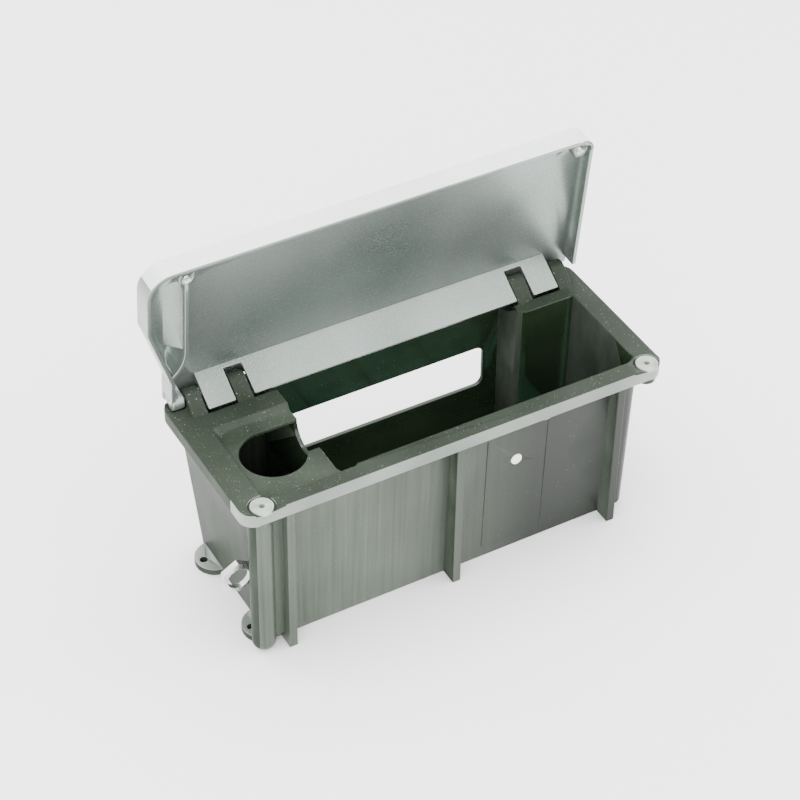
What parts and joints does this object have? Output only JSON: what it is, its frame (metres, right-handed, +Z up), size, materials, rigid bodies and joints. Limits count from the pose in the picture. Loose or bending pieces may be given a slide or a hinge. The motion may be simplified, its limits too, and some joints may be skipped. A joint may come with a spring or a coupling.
{
  "type": "bait station",
  "caption": "Lockable long bait box with a hinged lid, rear entry slot, shelf with a round opening, tie-down eye, fixing ears and a lift-out bait tray.",
  "frame": {"origin": "on the base plane, midway between the two lid locks along the station and midway across the rim", "axes": "+X along the station from the shelf end to the bin end, +Y from the front wall to the hinge, +Z up"},
  "size_m": [0.2605, 0.1035, 0.2018],
  "materials": {
    "shell_plastic": "satin moulded, fine grain",
    "lid_plastic": "satin moulded, fine sparkle",
    "zinc": "zinc plated, slightly dulled",
    "insert_plastic": "satin moulded",
    "plug_plastic": "smooth, near white",
    "tray_plastic": "smooth moulded, dark",
    "clip_rubber": "matt",
    "bait_wax": "waxy, faintly mottled"
  },
  "bodies": {
    "station": {"bin_body": "shell_plastic", "hinge_pin_left": "zinc", "hinge_pin_right": "zinc", "lock_insert_left": "insert_plastic", "lock_insert_right": "insert_plastic", "anchor_eye": "zinc", "anchor_nut": "zinc", "wall_plug": "plug_plastic", "bait_tray": "tray_plastic", "bait_rod_front": "zinc", "bait_rod_rear": "zinc", "rod_clips": "clip_rubber", "bait_blocks_front": "bait_wax", "bait_blocks_rear": "bait_wax"},
    "lid": {"lid_shell": "lid_plastic", "hinge_bar": "lid_plastic"},
    "washer_left": {"bolt_washer_left": "zinc"},
    "washer_right": {"bolt_washer_right": "zinc"},
    "bolt_left": {"lock_bolt_left": "zinc"},
    "bolt_right": {"lock_bolt_right": "zinc"}
  },
  "joints": [
    {"name": "lid_hinge", "type": "hinge", "parent": "station", "child": "lid", "pos_m": [0, 0.0435, 0.1075], "axis": [1, 0, 0], "range_deg": [0, 84]},
    {"name": "lock_left_travel", "type": "slide", "parent": "lid", "child": "washer_left", "axis": [0, -0.9945, -0.1045], "range_m": [0, 0.0035]},
    {"name": "lock_left_turn", "type": "hinge", "parent": "washer_left", "child": "bolt_left", "pos_m": [-0.115, 0.04335, 0.19597], "axis": [0, -0.9945, -0.1045], "range_deg": [0, 2520]},
    {"name": "lock_right_travel", "type": "slide", "parent": "lid", "child": "washer_right", "axis": [0, -0.9945, -0.1045], "range_m": [0, 0.0035]},
    {"name": "lock_right_turn", "type": "hinge", "parent": "washer_right", "child": "bolt_right", "pos_m": [0.115, 0.04335, 0.19597], "axis": [0, -0.9945, -0.1045], "range_deg": [0, 2520]}
  ],
  "couplings": [
    {"joint": "lock_left_turn", "follows": "lock_left_travel", "rad_per_m": 12566},
    {"joint": "lock_right_turn", "follows": "lock_right_travel", "rad_per_m": 12566}
  ]
}
